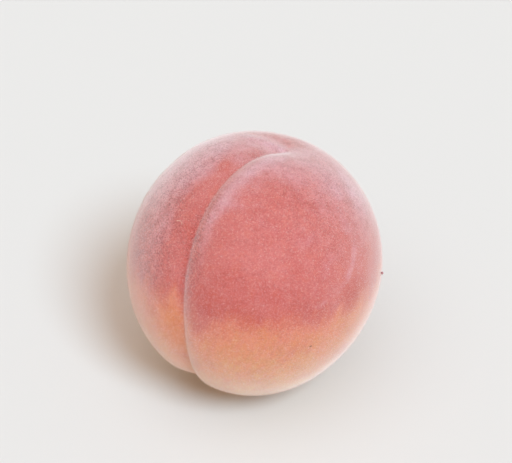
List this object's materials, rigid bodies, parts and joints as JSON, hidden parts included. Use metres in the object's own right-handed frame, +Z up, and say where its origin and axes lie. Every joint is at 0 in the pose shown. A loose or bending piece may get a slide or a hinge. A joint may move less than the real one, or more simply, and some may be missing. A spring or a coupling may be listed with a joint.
{
  "type": "peach",
  "caption": "Whole round peach with a curved suture, a shallow dimple at the tip and a deep hollow at the stem end, lying on a small flat spot.",
  "frame": {"origin": "on the floor, under the middle of the fruit's box", "axes": "+Z up from the floor; -Y towards the front, where the suture and the fuller cheek show; +X to the front's right, the side the tip leans to; the tip leans back and to the right"},
  "size_m": [0.073, 0.0754, 0.0741],
  "materials": {
    "peach_skin": "matt downy skin, red blush over cream"
  },
  "bodies": {
    "root": {"peach": "peach_skin"}
  },
  "joints": []
}
